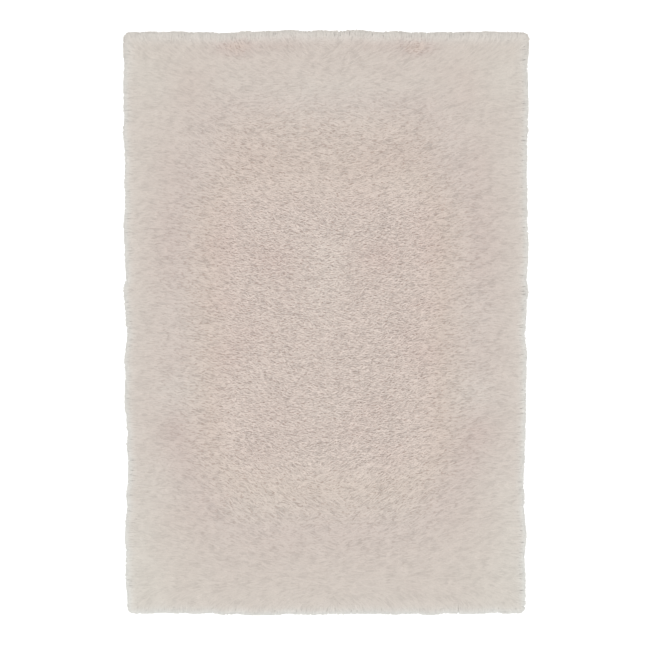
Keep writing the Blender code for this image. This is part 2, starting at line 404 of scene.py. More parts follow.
def lie_angle(x, y, scatter):
    """Direction in which the lock at each point leans, in radians."""
    dx, dy = inside_by(x, y)
    wander = 0.9 * soft_noise(x, y, 0.05, 15)
    way = np.sign(x / PARTING + wander * (np.abs(x) < 0.3))
    climb = np.radians(USUAL_CLIMB + spot_sum(x, y, CLIMB_SPOTS)) * smooth_step(0.05, 0.25, dx)
    to_side = way * np.maximum(np.exp(-dx / SIDE_FADE), 0.35)
    to_end = np.sign(y) * np.exp(-dy / SIDE_FADE) + np.tan(climb) * 0.35
    sway = soft_noise(x, y, 0.05, 7) * 0.5 + soft_noise(x, y, 0.018, 8) * 0.7
    spread = np.radians(13 - 6 * combed(x, y))
    return np.arctan2(to_end, to_side) + spread * (0.40 * sway + 0.45 * scatter)


# %% [markdown]
# ## One lock
# A lock is a bundle of about a hundred yarn ends that cling together. Thousands are needed, so
# each may only have a few faces: a tube of three sides through two or three rings, drawn to a
# point at both ends. Ruffled locks taper early; brushed ones keep their width for longer. A lock
# is made once, standing straight up, and each of its points remembers how far along it is, its
# place in its ring and whether it is on the crest. The lock's UV map runs round and along it.

# %% The shape of a lock
LOCK_SIDES = 3
LOCK_FLATNESS = 0.72
# How lit a point is painted: the crest fully, the flanks in painted shade, and the foot and tip between, as
# tips catch more light.
FOOT_CREST = 0.3
TIP_CREST = 0.7


def lock_faces(stops):
    """Faces of a tube that is pointed at both ends, and their corners on the UV map."""
    faces, maps = [], []
    last_row = len(stops) - 2
    tip = LOCK_SIDES * last_row + 1
    for row in range(last_row + 1):
        low, high = stops[row], stops[row + 1]
        below = 1 + LOCK_SIDES * (row - 1)
        above = below + LOCK_SIDES
        for k in range(LOCK_SIDES):
            after = (k + 1) % LOCK_SIDES
            u, w = k / LOCK_SIDES, (k + 1) / LOCK_SIDES
            lower, upper = [(below + k, (u, low)), (below + after, (w, low))], [(tip, ((u + w) / 2, high))]
            if row == 0:
                lower = [(0, ((u + w) / 2, low))]
            if row < last_row:
                upper = [(above + after, (w, high)), (above + k, (u, high))]
            faces.append([point for point, _ in lower + upper])
            maps += [place for _, place in lower + upper]
    return faces, maps


# %% Make both locks
def make_lock_shape(name, rings):
    """A closed tube through rings of (share of the length, girth)."""
    points = [(0, 0, 0)]
    for t, girth in rings:
        for k in range(LOCK_SIDES):
            turn = np.pi / 2 + 2 * np.pi * k / LOCK_SIDES
            points.append((girth * np.cos(turn), girth * np.sin(turn) * LOCK_FLATNESS, t))
    points.append((0, 0, 1))
    faces, maps = lock_faces([0.0, *(t for t, _ in rings), 1.0])
    ring_crest = [1.0] + [0.0] * (LOCK_SIDES - 1)
    shape = new_piece(name, points, faces)
    store(shape.data, "along", [t for _, _, t in points])
    store(shape.data, "crest", [FOOT_CREST, *ring_crest * len(rings), TIP_CREST])
    store(shape.data, "lay_ring", [(x, y, 0) for x, y, _ in points])
    layer = shape.data.uv_layers.new(name="strand")
    layer.data.foreach_set("uv", np.array(maps, dtype=np.float32).ravel())
    shape.data.calc_loop_triangles()
    print(name, "has", len(shape.data.loop_triangles), "triangles")
    return shape


ruffled_lock = make_lock_shape("ruffled_lock", ((0.28, 1.0), (0.70, 0.78)))
brushed_lock = make_lock_shape("brushed_lock", ((0.06, 0.85), (0.46, 1.0), (0.86, 0.78)))

# %% [markdown]
# ## The pile yarn
# The pile is polyester microfibre yarn, cut and heat-set. It is matt, with a soft sheen where
# the fibre ends catch the light. One material serves every lock: each point carries painted
# values, such as how well it is combed, and the shader turns them into colour. Ruffled pile
# looks warm, brushed pile cooler and darker, which is in part painted shade of its flat-lying
# locks. Locks look creamy and lighter along their length and pinkish and darker at their ends,
# which is painted sheen and shade with a slight shift of hue. At the rim the thin ends let
# light through and look pale, and that light is painted.

# %% What is painted on the pile
PAINTED = ("comb", "tone", "rim", "along", "crest", "shade")


def new_material(name):
    """An empty material and its tree."""
    material = bpy.data.materials.new(name)
    material.use_nodes = True
    material.node_tree.nodes.clear()
    return material, material.node_tree


def painted_values(tree):
    """The painted values as outputs, by name."""
    return {name: add_node(tree, "ShaderNodeAttribute", attribute_name=name).outputs["Fac"]
            for name in PAINTED}


# %% The yarn's colour by its lie
# From ruffled, through half brushed, to brushed flat, which is painted darker as the shade of its
# flat-lying locks.
LIE_COLOURS_AND_SHADE = ((0.0, "#BEB2AB"), (0.35, "#B3A79F"), (0.68, "#AEA39D"), (1.0, "#AFA7A0"))
# The pale cool colour that paints the light coming through the thin ends at the rim.
RIM_LIGHT_COLOUR = "#D0D2CF"
# Painted sheen and shade of the lie: darker and pinkish where locks show their ends, lighter and creamy
# where they show their length.
PINKISH_SHADED = (0.955, 0.93, 0.925, 1)
CREAMY_LIT = (1.02, 1.055, 1.05, 1)


def lie_colour_and_light(tree, painted):
    """Colour of the yarn with the painted shade and sheen of its lie and the painted light at the rim,
    before the shadow in the pile.
    """
    lie = add_node(tree, "ShaderNodeValToRGB", stops=[(place, linear(c)) for place, c in LIE_COLOURS_AND_SHADE],
                   Fac=painted["comb"])
    tone = add_node(
        tree, "ShaderNodeMapRange", Value=painted["tone"], From_Min=-TONE_AND_SHADE_LIMIT, From_Max=TONE_AND_SHADE_LIMIT)
    tint = add_node(tree, "ShaderNodeMix", data_type="RGBA", Factor=tone, A=PINKISH_SHADED, B=CREAMY_LIT)
    toned = add_node(
        tree, "ShaderNodeMix", data_type="RGBA", blend_type="MULTIPLY", Factor=1.0, A=lie, B=tint)
    return add_node(
        tree, "ShaderNodeMix", data_type="RGBA", Factor=painted["rim"], A=toned, B=linear(RIM_LIGHT_COLOUR))


# %% [markdown]
# ## Shadow in the pile
# Less light gets out from between the locks. A renderer finds part of that shadow by itself,
# but real yarn is finer than these locks, so the rest is painted: a lock darkens towards its
# foot and on its flanks, and some locks are darker than others. The foot mat gets a pattern of
# the ends of deeper locks, 14 x 5 mm each.

# %% Shadow towards the foot
# Light reaches brushed pile all over, as COMB_LIGHT lifts its feet.
DEPTH_SHADES = ((0.0, (0.56, 0.50, 0.475, 1)), (0.60, (1, 1, 1, 1)))
COMB_LIGHT = 0.55


def deeper_lock_ends(tree, strand):
    """Light on the ends of deeper locks: a cell is half lit in its middle and dark at its edge."""
    cells = add_node(tree, "ShaderNodeTexVoronoi", voronoi_dimensions="2D", Vector=strand, Scale=1.0)
    return add_node(tree, "ShaderNodeMapRange", Value=cells.outputs["Distance"], From_Min=0.1,
                    From_Max=0.6, To_Min=0.50, To_Max=0.0)


# %% Fibres, flanks and darker locks
# A fibre is 0.02 mm thick, far too fine to show. The streaks that stand for fibres are drawn
# about 0.5 mm wide: 26 waves of noise round a lock.
LOCK_FIBRES = (26.0, 2.5, 1.0)
MAT_FIBRES = (8.0, 1.0, 1.0)


def fibre_grain(tree, strand, scale):
    """Fine streaks along the lock."""
    fibres = add_node(tree, "ShaderNodeMapping", Vector=strand, Scale=scale)
    return add_node(tree, "ShaderNodeTexNoise", noise_dimensions="2D", Vector=fibres, Scale=1.0, Detail=2.0)


def lock_factors(tree, painted, grain):
    """Painted brightness: darker locks in painted shade, streaks of fibres, and a crest in painted light
    against flanks in painted shade.
    """
    shade, streak, flank = [
        add_node(tree, "ShaderNodeMapRange", Value=value, From_Min=a, From_Max=b, To_Min=dark, To_Max=light)
        for value, a, b, dark, light in (
            (painted["shade"], -1.0, 1.0, 0.74, 1.14), (grain, 0.3, 0.7, 0.88, 1.06),
            (painted["comb"], 0.0, 1.0, 0.58, 0.88))
    ]
    ridge = add_node(
        tree, "ShaderNodeMapRange", Value=painted["crest"], From_Max=0.5, To_Min=flank, To_Max=1.06)
    return shade, streak, ridge


# %% The pile materials
def make_polyester_pile(name, fibres, deeper_locks=False):
    """Matt heat-set polyester, for locks or for the mat under them."""
    material, tree = new_material(name)
    painted = painted_values(tree)
    strand = add_node(tree, "ShaderNodeUVMap", uv_map="strand")
    height = deeper_lock_ends(tree, strand) if deeper_locks else painted["along"]
    reached = add_node(tree, "ShaderNodeMath", operation="MULTIPLY_ADD", Value=painted["comb"],
                       Value_001=COMB_LIGHT, Value_002=height)
    depth = add_node(tree, "ShaderNodeValToRGB", stops=DEPTH_SHADES, Fac=reached)
    colour = add_node(tree, "ShaderNodeMix", data_type="RGBA", blend_type="MULTIPLY",
                      Factor=1.0, A=lie_colour_and_light(tree, painted), B=depth)
    grain = fibre_grain(tree, strand, fibres)
    for factor in lock_factors(tree, painted, grain):
        colour = add_node(tree, "ShaderNodeVectorMath", operation="SCALE", Vector=colour, Scale=factor)
    bump = add_node(tree, "ShaderNodeBump", Strength=0.6, Distance=0.0008, Height=grain)
    if deeper_locks:
        bump = add_node(tree, "ShaderNodeBump", Strength=0.8, Distance=0.003, Height=reached, Normal=bump)
    yarn = add_node(tree, "ShaderNodeBsdfPrincipled", Base_Color=colour, Normal=bump, Roughness=0.85,
                    IOR=1.5, Specular_IOR_Level=0.25, Sheen_Weight=0.15, Sheen_Roughness=0.5)
    add_node(tree, "ShaderNodeOutputMaterial", Surface=yarn)
    print(name, "has", len(tree.nodes), "nodes")
    return material


pile_material = make_polyester_pile("polyester_pile", LOCK_FIBRES)
foot_material = make_polyester_pile("polyester_pile_foot", MAT_FIBRES, deeper_locks=True)

# %% [markdown]
# ## Bending the locks into place
# Every lock follows a curve of four points: its foot, two handles and its tip. Geometry Nodes
# mix the four points step by step, which is how such a curve is drawn on paper with a ruler.
# The same tree serves the field and the rim; only the points and the named inputs differ.

# %% The tree and its named inputs
tree = bpy.data.node_groups.new("bend_locks", "GeometryNodeTree")
for way in ("INPUT", "OUTPUT"):
    tree.interface.new_socket("Geometry", in_out=way, socket_type="NodeSocketGeometry")
for name, kind in (
    ("Lock shape", "Object"), ("Lock width", "Float"), ("Width spread", "Float"), ("Seed", "Int"),
    ("Cells across", "Int"), ("Pile", "Material"),
):
    tree.interface.new_socket(name, in_out="INPUT", socket_type="NodeSocket" + kind)
given = add_node(tree, "NodeGroupInput").outputs

# %% A copy of the lock on every point
low, high = [add_node(tree, "ShaderNodeMath", operation=operation, Value=1.0,
                      Value_001=given["Width spread"]) for operation in ("SUBTRACT", "ADD")]
spread = add_node(tree, "FunctionNodeRandomValue", Min=low, Max=high, Seed=given["Seed"])
width = add_node(tree, "ShaderNodeMath", operation="MULTIPLY", Value=spread, Value_001=given["Lock width"])
rooted = given["Geometry"]
for name, kind, value in (
    ("lay_root", "FLOAT_VECTOR", add_node(tree, "GeometryNodeInputPosition")),
    ("lay_width", "FLOAT", width),
    ("lay_cell", "INT", add_node(tree, "GeometryNodeInputIndex")),
):
    rooted = add_node(tree, "GeometryNodeStoreNamedAttribute",
                      data_type=kind, domain="POINT", Geometry=rooted, Name=name, Value=value)
shape = add_node(tree, "GeometryNodeObjectInfo", Object=given["Lock shape"])
copies = add_node(tree, "GeometryNodeInstanceOnPoints", Points=rooted, Instance=shape.outputs["Geometry"])
locks = add_node(tree, "GeometryNodeRealizeInstances", Geometry=copies)

# %% The curve of four points
lay = {}
for kind, names in (
    ("FLOAT_VECTOR", ("lay_root", "lay_handle", "lay_neck", "lay_tip", "lay_side", "lay_ring", "strand")),
    ("FLOAT", ("along", "lay_width", "girth")), ("INT", ("lay_cell",)),
):
    for name in names:
        lay[name] = add_node(tree, "GeometryNodeInputNamedAttribute", data_type=kind, Name=name)
curve = [lay[name] for name in ("lay_root", "lay_handle", "lay_neck", "lay_tip")]
while len(curve) > 1:
    last_pair = curve
    curve = [add_node(tree, "ShaderNodeMix", data_type="VECTOR", Factor=lay["along"], A=a, B=b)
             for a, b in zip(curve, curve[1:])]
heading = add_node(
    tree, "ShaderNodeVectorMath", operation="SUBTRACT", Vector=last_pair[1], Vector_001=last_pair[0])
crossed = add_node(
    tree, "ShaderNodeVectorMath", operation="CROSS_PRODUCT", Vector=heading, Vector_001=lay["lay_side"])
up = add_node(tree, "ShaderNodeVectorMath", operation="NORMALIZE", Vector=crossed)

# %% Thickness round the curve
ring = add_node(tree, "ShaderNodeSeparateXYZ", Vector=lay["lay_ring"])
girth = add_node(
    tree, "ShaderNodeMath", operation="MULTIPLY", Value=lay["lay_width"], Value_001=lay["girth"])
place = curve[0]
for axis, share in ((lay["lay_side"], ring.outputs["X"]), (up, ring.outputs["Y"])):
    out = add_node(tree, "ShaderNodeVectorMath", operation="SCALE", Vector=axis, Scale=share)
    out = add_node(tree, "ShaderNodeVectorMath", operation="SCALE", Vector=out, Scale=girth)
    place = add_node(tree, "ShaderNodeVectorMath", operation="ADD", Vector=place, Vector_001=out)
bent = add_node(tree, "GeometryNodeSetPosition", Geometry=locks, Position=place)

# %% [markdown]
# ## A map for baking
# When colours are baked into pictures, no two locks may share a place. So each lock
# gets its own square of the sheet, with a narrow margin round it.

# %% A square of the map for each lock
SQUARE_FILLED = 0.84
cells = given["Cells across"]
column, line, share = [
    add_node(tree, "ShaderNodeMath", operation=operation, Value=value, Value_001=cells)
    for operation, value in (("MODULO", lay["lay_cell"]), ("DIVIDE", lay["lay_cell"]), ("DIVIDE", 1.0))
]
line = add_node(tree, "ShaderNodeMath", operation="FLOOR", Value=line)
corner = add_node(tree, "ShaderNodeCombineXYZ", X=column, Y=line)
inner = add_node(tree, "ShaderNodeVectorMath", operation="MULTIPLY_ADD", Vector=lay["strand"],
                 Vector_001=(SQUARE_FILLED, SQUARE_FILLED, 0), Vector_002=(0.08, 0.08, 0))
placed = add_node(tree, "ShaderNodeVectorMath", operation="ADD", Vector=corner, Vector_001=inner)
sheet_map = add_node(tree, "ShaderNodeVectorMath", operation="SCALE", Vector=placed, Scale=share)

# %% The end of the tree
mapped = add_node(tree, "GeometryNodeStoreNamedAttribute", data_type="FLOAT2", domain="CORNER",
                  Geometry=bent, Name="OFBake", Value=sheet_map)
bare = add_node(tree, "GeometryNodeRemoveAttribute", pattern_mode="WILDCARD", Geometry=mapped, Name="lay_*")
dressed = add_node(tree, "GeometryNodeSetMaterial", Geometry=bare, Material=given["Pile"])
add_node(tree, "NodeGroupOutput", Geometry=dressed)
print("the lock tree has", len(tree.nodes), "nodes")

# %% [markdown]
# ## Pale ends and soft shading
# At the rim the ends look pale and cool against the light floor, as the thin ends let light
# through. That light is painted, by each point's own place, so that it doesn't jump from lock
# to lock. The flat sides of a lock would catch the light like cut glass, so its normals lean to
# the skin of the pile, the more the flatter it is brushed.

# %% Paint the rim
def rim_paleness(x, y):
    """How much painted light the thin ends get, so that they look pale: a fading rim, or an even band where
    the far end rolls over.
    """
    distance = np.clip(rim_distance(x, y), 0, 1)
    far_end = smooth_step(0.95, 1.15, y)
    near_fade, long_fade = np.exp(-(distance / 0.019) ** 2), np.exp(-distance / 0.044)
    fading = (0.43 - 0.04 * y) * near_fade + (0.13 - 0.01 * y) * long_fade
    band = 0.21 * np.exp(-(distance / 0.045) ** 4) + 0.06 * np.exp(-distance / 0.020)
    return fading * (1 - far_end) + band * far_end


# %% Lean the normals
SKIN_SHARE = 0.55
COMBED_SHARE = 0.42


def soften(mesh, x, y):
    """Leans each corner's normal towards the skin, but not on faces that look down."""
    vertex = read(mesh.loops, "vertex_index", 1, np.int32)
    corners = read(mesh.polygons, "loop_total", 1, np.int32)
    face = np.repeat(read(mesh.polygons, "normal", 3), corners, axis=0)
    own, skin = read(mesh.vertices, "normal", 3)[vertex], skin_normal(x, y)[vertex]
    towards = np.clip(((face * skin).sum(1) + 0.15) / 0.5, 0, 1)[:, None]
    combed_flat = np.clip(read(mesh.attributes["comb"].data, "value"), 0, 1)[vertex][:, None]
    share = (SKIN_SHARE + COMBED_SHARE * combed_flat) * towards
    leaned = (own * towards + face * (1 - towards)) * (1 - share) + skin * share
    leaned /= np.maximum(np.linalg.norm(leaned, axis=1), 1e-6)[:, None]
    mesh.normals_split_custom_set(leaned.tolist())


# %% Growing locks from points
def grow_locks(name, shape, lay, width, seed):
    """Makes one plain mesh of locks. lay holds an array for each attribute, and foot the roots."""
    piece = new_piece(name, lay["foot"], [])
    for key, values in lay.items():
        if key != "foot":
            store(piece.data, key, values)
    modifier = piece.modifiers.new("locks", "NODES")
    modifier.node_group = tree
    settings = {"Lock shape": shape, "Lock width": width, "Width spread": 0.25, "Seed": seed,
                "Cells across": int(np.ceil(np.sqrt(len(lay["foot"])))), "Pile": pile_material}
    for item in tree.interface.items_tree:
        if item.in_out == "INPUT" and item.name in settings:
            modifier[item.identifier] = settings[item.name]
    graph = bpy.context.evaluated_depsgraph_get()
    mesh = bpy.data.meshes.new_from_object(piece.evaluated_get(graph), depsgraph=graph)
    piece.modifiers.clear()
    bare_points, piece.data = piece.data, mesh
    bpy.data.meshes.remove(bare_points)
    mesh.name = name
    x, y, _ = read(mesh.vertices, "co", 3).T
    store(mesh, "rim", rim_paleness(x, y))
    soften(mesh, x, y)
    mesh.calc_loop_triangles()
    print(name, len(lay["foot"]), "locks,", len(mesh.loop_triangles), "triangles")
    return piece


# %% [markdown]
# ## Stitches and bunches
# The tufting machine sets yarn in rows, so the feet stand on a staggered grid with some play.
# Fewer are needed where the pile is brushed, because each lock there lies longer and wider.
# Neighbours cling, so every lock joins the nearest bunch, which shares part of its lean, its
# curl and its shade. Bunches are longer than wide, like the locks in them.

# %% Where the locks stand
ROW_STEP = 0.0050
STITCH_STEP = 0.0058
BUNCH_ACROSS = 0.0068
BUNCH_ALONG = 0.0120
FIELD_INSET = 0.018
FIELD_HALF = (0.83, 1.19)
BRUSHED_THINNING = 0.82
rng = np.random.default_rng(21)


def staggered(step_x, step_y, play):
    """Sites of a staggered grid over the whole rug, each moved by up to this share of a step."""
    x, y = np.meshgrid(*(np.arange(-half, half, step) for half, step in zip(FIELD_HALF, (step_x, step_y))))
    x = x + (np.arange(len(x)) % 2)[:, None] * step_x / 2
    x, y = x.ravel(), y.ravel()
    return x + rng.uniform(-play, play, x.size) * step_x, y + rng.uniform(-play, play, y.size) * step_y


bunch_x, bunch_y = staggered(BUNCH_ALONG, BUNCH_ACROSS, 0.22)
bunch_lie = lie_angle(bunch_x, bunch_y, rng.normal(0, 1, bunch_x.size))
bunch_lift, bunch_curl, bunch_shade = rng.normal(0, 1, (3, bunch_x.size))
field_x, field_y = staggered(STITCH_STEP, ROW_STEP, 0.35)
thinning = BRUSHED_THINNING * smooth_step(0.0, 0.7, combed(field_x, field_y))
stands = (rim_distance(field_x, field_y) > FIELD_INSET) & (rng.uniform(0, 1, field_x.size) < 1 - thinning)
field_x, field_y = field_x[stands], field_y[stands]


# %% Which bunch each lock joins
def nearest_bunch(x, y):
    """The nearest bunch, measured with its length squeezed to its width."""
    squeeze = BUNCH_ACROSS / BUNCH_ALONG
    tree = KDTree(len(bunch_x))
    for k, (middle_x, middle_y) in enumerate(zip(bunch_x, bunch_y)):
        tree.insert((middle_x * squeeze, middle_y, 0), k)
    tree.balance()
    return np.array([tree.find((px * squeeze, py, 0))[1] for px, py in zip(x, y)])


field_bunch = nearest_bunch(field_x, field_y)
print(len(field_x), "locks in", len(np.unique(field_bunch)), "bunches")

# %% [markdown]
# ## The field of the pile
# From its foot a lock rises through its neighbours, turns over at the skin of the pile and ends
# in a tip that lies on the next locks. A brushed lock lies long and flat. A ruffled one is
# shorter, stands up more, curls and may even point the other way, and leaves dark hollows
# beside it. All that is worked out for the whole field at once.

# %% Chance, direction and reach
RIM_MARGIN = 0.004


def draw_chances(n):
    """Every chance that a lock takes. The order of the draws is part of the look."""
    return {
        "turn": rng.normal(0, 1, n), "flip": rng.uniform(0, 1, n), "reach": rng.uniform(0.75, 1.3, n),
        "lift": rng.normal(0, 1, n), "curl": rng.normal(0, 1, n), "sunk": rng.uniform(0, 1, n),
        "dark": rng.exponential(1, n),
    }


def keep_inside(x, y, ahead, reach):
    """Shortens a lock that would lean past the rim."""
    inside = rim_distance(x, y)
    beyond = rim_distance(x + reach * ahead[:, 0], y + reach * ahead[:, 1])
    room = (inside - RIM_MARGIN) / np.maximum(inside - beyond, 1e-6)
    return reach * np.where((beyond < RIM_MARGIN) & (inside > beyond), np.clip(room, 0.2, 1), 1)


# %% The curve of each lock
def mat_height(x, y):
    """Where the dense foot of the pile ends and separate locks begin."""
    depth = 0.0030 - 0.0022 * combed(x, y)
    depth = depth * smooth_step(0.0, 0.03, rim_distance(x, y) - MAT_INSET)
    return np.maximum(pile_height(x, y, MAT_INSET) - depth, 0.003)


def field_curves(x, y, directions, reach, bend, lift, loose):
    """Foot, handle, neck and tip of every lock. bend holds its curl and its pull to the bunch."""
    (ahead, side), (curl, gather) = directions, bend
    foot = np.stack([x, y, mat_height(x, y) - 0.003], 1)
    handle, neck, tip = [
        foot + ahead * (share * reach)[:, None] + side * aside[:, None]
        for share, aside in ((0.32 - 0.12 * loose, -0.3 * gather), (0.60, curl - 0.7 * gather),
                             (1.0, 1.3 * curl - gather))
    ]
    handle[:, 2] = pile_height(x, y) + 0.0002 - 0.0006 * loose + lift["body"]
    neck[:, 2] = pile_height(neck[:, 0], neck[:, 1]) + 0.0002 + 0.0008 * loose + lift["body"]
    tip_skin = pile_height(tip[:, 0], tip[:, 1])
    tip[:, 2] = np.maximum(tip_skin - 0.0022 + loose * 0.0019 + lift["body"] - lift["sunk"], 0.0035)
    return {"foot": foot, "lay_handle": handle, "lay_neck": neck, "lay_tip": tip, "lay_side": side}


# %% Lay the field
def lay_field(x, y, bunch):
    """Everything that grow_locks needs for the field, as arrays."""
    comb = combed(x, y)
    loose = 1 - np.clip(comb, 0, 1)
    chance = draw_chances(len(x))
    angle = bunch_lie[bunch] + np.radians(5 + 13 * loose) * chance["turn"]
    angle += np.pi * (chance["flip"] < 0.35 * np.exp(-(x / 0.25) ** 2) * loose)
    ahead = np.stack([np.cos(angle), np.sin(angle), np.zeros(angle.size)], 1)
    side = np.stack([-ahead[:, 1], ahead[:, 0], np.zeros(angle.size)], 1)
    aside = (x - bunch_x[bunch]) * side[:, 0] + (y - bunch_y[bunch]) * side[:, 1]
    edge = np.clip(np.abs(aside) / (0.5 * BUNCH_ACROSS), 0, 1.3) ** 2
    gather = aside * (0.15 + 0.15 * loose)
    curl = (0.0008 + 0.0006 * loose) * bunch_curl[bunch] + (0.0008 + 0.0012 * loose) * chance["curl"]
    raised = loose * (0.0004 * bunch_lift[bunch] + 0.0004 * (0.4 - edge))
    lift = {"body": raised + chance["lift"] * (0.0004 + 0.0006 * loose),
            "sunk": chance["sunk"] * 0.0025 * loose}
    # A lock's middle, not its foot, is on its site, so the locks cover the field evenly.
    reach = (0.0210 + 0.0140 * comb) * chance["reach"]
    x, y = x - 0.5 * reach * ahead[:, 0], y - 0.5 * reach * ahead[:, 1]
    reach = keep_inside(x, y, ahead, reach)
    curves = field_curves(x, y, (ahead, side), reach, (curl, gather), lift, loose)
    # Painted shade: locks at a bunch's edge are darker, as in the shadow between bunches, and some locks at
    # random are darker, as if they lay deeper in the pile.
    shade = 0.51 - 0.15 * edge + 0.05 * bunch_shade[bunch] - 0.6 * chance["dark"]
    return {**curves, "girth": 1.0 + 0.90 * comb, "comb": comb, "tone": pile_tone_and_shade(x, y),
            "shade": np.clip(shade, -1.6, 1) * (0.28 + 0.72 * loose)}


# %% Grow the field
# The field is cut into bands across the rug, so that no piece has more than 200,000 triangles.
FIELD_LOCK_WIDTH = 0.0025
RUFFLED_BANDS = 3
BRUSHED_BANDS = 2

field = lay_field(field_x, field_y, field_bunch)
uphill = np.argsort(field_y, kind="stable")
field_pieces = []
for name, shape, members, bands in (
    ("pile_ruffled", ruffled_lock, uphill[field["comb"][uphill] < 0.5], RUFFLED_BANDS),
    ("pile_brushed", brushed_lock, uphill[field["comb"][uphill] >= 0.5], BRUSHED_BANDS),
):
    for band, chosen in enumerate(np.array_split(members, bands)):
        band_lay = {key: values[chosen] for key, values in field.items()}
        field_pieces.append(grow_locks(f"{name}_{band + 1}", shape, band_lay, FIELD_LOCK_WIDTH, 30 + band))

# %% [markdown]
# ## The rolled rim
# At the rim the pile hangs over the cut edge of the backing. Locks grow from its wall at several
# heights, lean straight out and droop until the lowest lie on the floor. From above they make
# the pale fringe of fine lines that ends the rug. To set them at even steps, one first walks
# round the outline, by its four runs and four corners.

# %% The runs and corners of the outline
WALK_STEP = 0.002
CORNER_STEPS = 22


def straight_run(kind, sign, values):
    """Points along a side or an end, each with the direction that points straight out."""
    signs, zeros = np.full(values.size, sign), np.zeros(values.size)
    if kind == "side":
        return np.stack([side_reach(signs, values) * sign, values, signs, zeros], 1)
    return np.stack([values, end_reach(values, signs) * sign, zeros, signs], 1)


def corner_run(sign_x, sign_y, turns):
    """The same round a corner."""
    middle_x = (side_reach(sign_x, sign_y * spots_y[-1]) - CORNER_RADIUS) * sign_x
    middle_y = (end_reach(sign_x * spots_x[-1], sign_y) - CORNER_RADIUS) * sign_y
    ux, uy = np.cos(turns) * sign_x, np.sin(turns) * sign_y
    return np.stack([middle_x + CORNER_RADIUS * ux, middle_y + CORNER_RADIUS * uy, ux, uy], 1)


# %% Walk round the outline
ys = np.arange(-1.13, 1.13, WALK_STEP)
xs = np.arange(-0.76, 0.76, WALK_STEP)
turns = np.linspace(0, np.pi / 2, CORNER_STEPS)[1:-1]
walk = np.concatenate([
    straight_run("side", 1.0, ys), corner_run(1.0, 1.0, turns),
    straight_run("end", 1.0, xs[::-1]), corner_run(-1.0, 1.0, turns[::-1]),
    straight_run("side", -1.0, ys[::-1]), corner_run(-1.0, -1.0, turns),
    straight_run("end", -1.0, xs), corner_run(1.0, -1.0, turns[::-1]),
])
paces = np.hypot(*np.diff(walk[:, :2], axis=0, append=walk[:1, :2]).T)
walked = np.concatenate([[0], np.cumsum(paces)])
PERIMETER = walked[-1]
print("outline", round(float(PERIMETER), 2), "m round")


def at_rim(distance):
    """Point and outward direction of the outline at each distance walked."""
    where = np.mod(distance, PERIMETER)
    closed = np.concatenate([walk, walk[:1]])
    columns = np.stack([np.interp(where, walked, closed[:, k]) for k in range(4)], 1)
    point, out = columns[:, :2], columns[:, 2:]
    return point, out / np.linalg.norm(out, axis=1)[:, None]


# %% [markdown]
# ## Five rows of rim locks
# The rows step down the wall of the pile, and each reaches a little farther out and lower than
# the one before. Neighbours sway together, as the real fringe parts and closes in waves.

# %% Lay a row of the rim
# Each row: spacing along the rim, foot's inset, tip's inset and tip's height, all in m.
RIM_ROWS = (
    (0.0054, 0.044, 0.0050, 0.0170), (0.0050, 0.038, 0.0030, 0.0120), (0.0044, 0.031, 0.0012, 0.0080),
    (0.0038, 0.025, -0.0008, 0.0048), (0.0034, 0.019, -0.0022, 0.0024),
)
SWAY_LENGTH = 0.03
RIM_LOCK_WIDTH = 0.0036
LOWEST_TIP = 0.0014


def lay_rim_row(row, step, inset, tip_inset, tip_z):
    """Everything that grow_locks needs for one row, as arrays."""
    n = int(PERIMETER / step)
    walked_to = (np.arange(n) + 0.5 * (row % 2)) * step + rng.uniform(-0.4, 0.4, n) * step
    rim_point, out = at_rim(walked_to)
    knots = np.arange(0, PERIMETER + SWAY_LENGTH, SWAY_LENGTH)
    sway = 0.12 * rng.normal(0, 1, n) + 0.22 * np.interp(walked_to, knots, rng.uniform(-1, 1, knots.size))
    heading = out + np.stack([-out[:, 1], out[:, 0]], 1) * sway[:, None]
    heading /= np.linalg.norm(heading, axis=1)[:, None]
    start = rim_point - out * (inset + rng.uniform(-0.003, 0.003, n))[:, None]
    reach = inset - tip_inset + rng.normal(0, 0.0010, n)
    crest = (1 - 0.17 * row) * pile_height(start[:, 0], start[:, 1]) + rng.normal(0, 0.0006, n)
    tip_height = np.maximum(tip_z + rng.normal(0, 0.0015, n), LOWEST_TIP)
    foot, handle, neck, tip = [
        np.column_stack([start + heading * (share * reach)[:, None], z])
        for share, z in ((0.0, crest - 0.004), (0.50, crest + 0.0015),
                         (0.88, 0.45 * crest + 0.55 * tip_height + 0.001), (1.0, tip_height))
    ]
    return {
        "foot": foot, "lay_handle": handle, "lay_neck": neck, "lay_tip": tip,
        "lay_side": np.column_stack([-heading[:, 1], heading[:, 0], np.zeros(n)]),
        "girth": np.full(n, 0.86), "shade": np.clip(rng.normal(0, 0.12, n), -1, 1),
        "comb": np.full(n, 1.0), "tone": pile_tone_and_shade(rim_point[:, 0], rim_point[:, 1]),
    }


# %% Grow the rim
rim_rows = [lay_rim_row(row, *sizes) for row, sizes in enumerate(RIM_ROWS)]
rim_lay = {key: np.concatenate([one[key] for one in rim_rows]) for key in rim_rows[0]}
rim_piece = grow_locks("pile_rim", brushed_lock, rim_lay, RIM_LOCK_WIDTH, 50)

# %% [markdown]
# ## The foot of the pile
# Between the locks one looks down on the dense foot of the pile, which is all yarn and shadow.
# One closed lumpy mat stops the eye there, and its material paints deeper locks on it, dark at
# their edges, in painted shade. The mat and the backing are both a grid that is fitted to the
# outline, with its corners pulled in, and closed with a wall and an underside.

# %% A grid that follows the outline
GRID_HALF = (0.8, 1.17)


